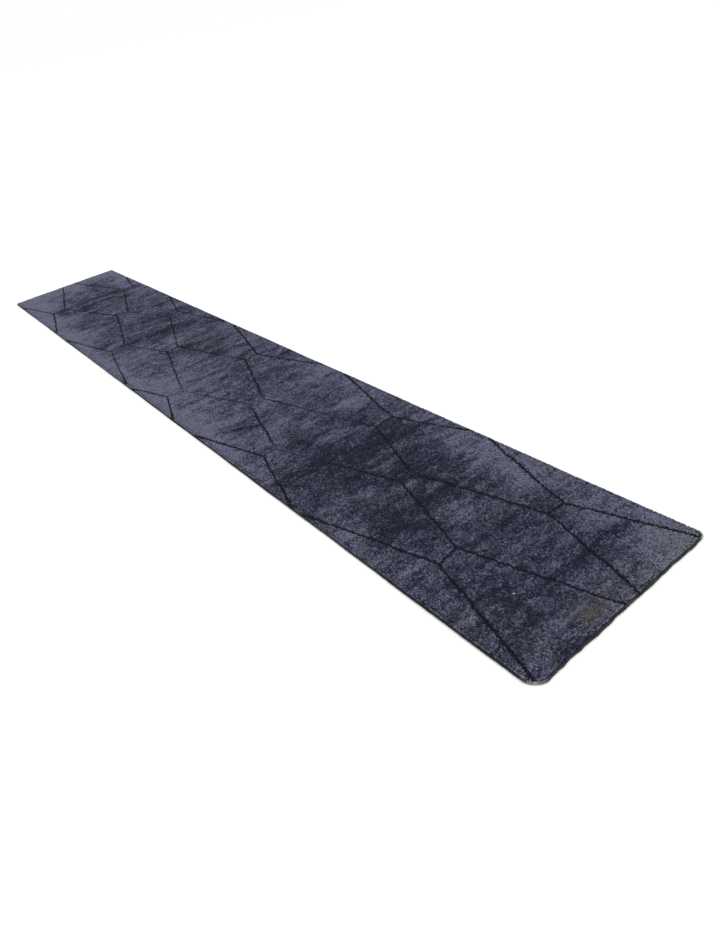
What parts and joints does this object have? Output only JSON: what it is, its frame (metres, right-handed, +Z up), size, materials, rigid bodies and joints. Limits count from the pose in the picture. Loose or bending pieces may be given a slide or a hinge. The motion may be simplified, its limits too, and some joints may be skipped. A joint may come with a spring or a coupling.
{
  "type": "runner rug",
  "caption": "Long hand-knotted wool runner with dark lattice lines in short blue-grey pile, a woven foundation and whipped edges over cords.",
  "frame": {"origin": "middle of the rug's underside, on the surface it lies on", "axes": "+X across the rug's width, +Y along its length towards the far end, +Z up through the pile"},
  "size_m": [0.762, 4.877, 0.013],
  "materials": {
    "ground_wool": "short cut wool pile, slate blue, dull with a soft nap",
    "design_wool": "short cut wool pile, near-black blue",
    "edge_wool": "charcoal wool yarn, whipped in close turns",
    "foundation_cotton": "dull ribbed weave of dyed cotton warps and wefts",
    "cord_cotton": "plain undyed cotton cord"
  },
  "bodies": {
    "root": {"design_chevron_left_1": "design_wool", "design_chevron_left_2": "design_wool", "design_chevron_left_3": "design_wool", "design_chevron_left_4": "design_wool", "design_chevron_left_5": "design_wool", "design_chevron_right_1": "design_wool", "design_chevron_right_2": "design_wool", "design_chevron_right_3": "design_wool", "design_chevron_right_4": "design_wool", "design_chevron_right_5": "design_wool", "design_link_middle_1": "design_wool", "design_link_middle_2": "design_wool", "design_link_middle_3": "design_wool", "design_link_middle_4": "design_wool", "design_zigzag_left": "design_wool", "design_zigzag_right": "design_wool", "far_end_cord": "cord_cotton", "far_end_whipping": "edge_wool", "foundation_weave": "foundation_cotton", "left_selvedge_cord": "cord_cotton", "left_selvedge_whipping": "edge_wool", "near_end_cord": "cord_cotton", "near_end_whipping": "edge_wool", "pile_field_centre_1": "ground_wool", "pile_field_centre_2": "ground_wool", "pile_field_centre_3": "ground_wool", "pile_field_centre_4": "ground_wool", "pile_field_centre_5": "ground_wool", "pile_field_left_flank_1": "ground_wool", "pile_field_left_flank_2": "ground_wool", "pile_field_left_flank_3": "ground_wool", "pile_field_left_flank_4": "ground_wool", "pile_field_left_flank_5": "ground_wool", "pile_field_left_flank_6": "ground_wool", "pile_field_left_side_1": "ground_wool", "pile_field_left_side_2": "ground_wool", "pile_field_left_side_3": "ground_wool", "pile_field_left_side_4": "ground_wool", "pile_field_left_side_5": "ground_wool", "pile_field_right_flank_1": "ground_wool", "pile_field_right_flank_2": "ground_wool", "pile_field_right_flank_3": "ground_wool", "pile_field_right_flank_4": "ground_wool", "pile_field_right_flank_5": "ground_wool", "pile_field_right_flank_6": "ground_wool", "pile_field_right_side_1": "ground_wool", "pile_field_right_side_2": "ground_wool", "pile_field_right_side_3": "ground_wool", "pile_field_right_side_4": "ground_wool", "pile_field_right_side_5": "ground_wool", "right_selvedge_cord": "cord_cotton", "right_selvedge_whipping": "edge_wool"}
  },
  "joints": []
}
